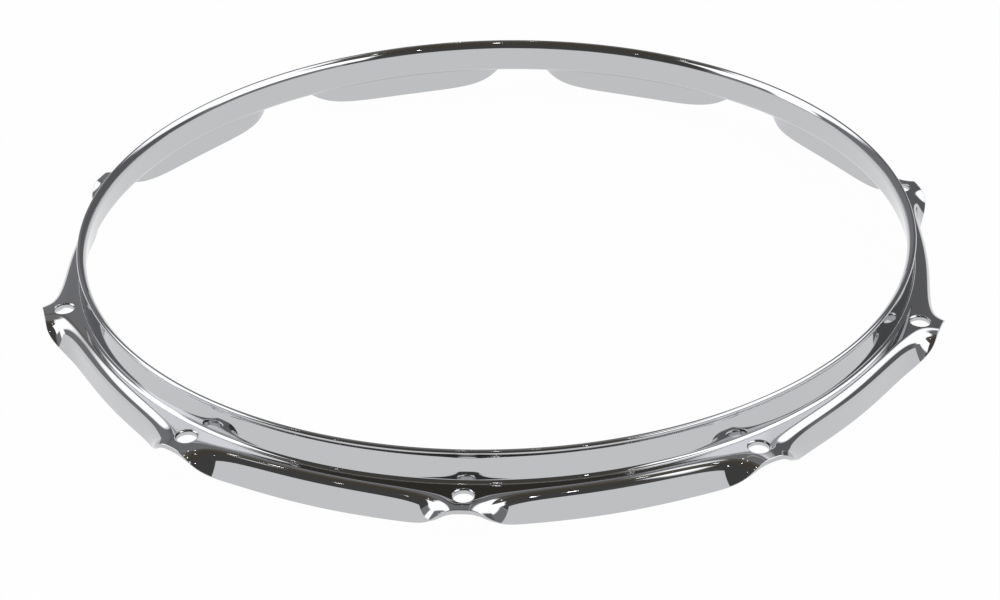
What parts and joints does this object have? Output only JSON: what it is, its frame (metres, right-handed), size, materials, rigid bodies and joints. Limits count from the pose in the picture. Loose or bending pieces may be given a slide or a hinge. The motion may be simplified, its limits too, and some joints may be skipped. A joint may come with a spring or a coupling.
{
  "type": "drum hoop",
  "caption": "Chromed drum hoop pressed from sheet steel, with a curled rim, a collar that leans out a little, a flange and folded skirts between eared holes for tension rods.",
  "frame": {"origin": "on the hoop's axis, in the plane of the skirts' lower edges", "axes": "+Z along the hoop's axis, from the skirts up to the curled rim; one ear points along -Y"},
  "size_m": [0.3846, 0.3988, 0.029],
  "materials": {
    "chrome_plating": "polished bright chrome on steel"
  },
  "bodies": {
    "root": {"hoop_band": "chrome_plating", "butt_weld": "chrome_plating"}
  },
  "joints": []
}
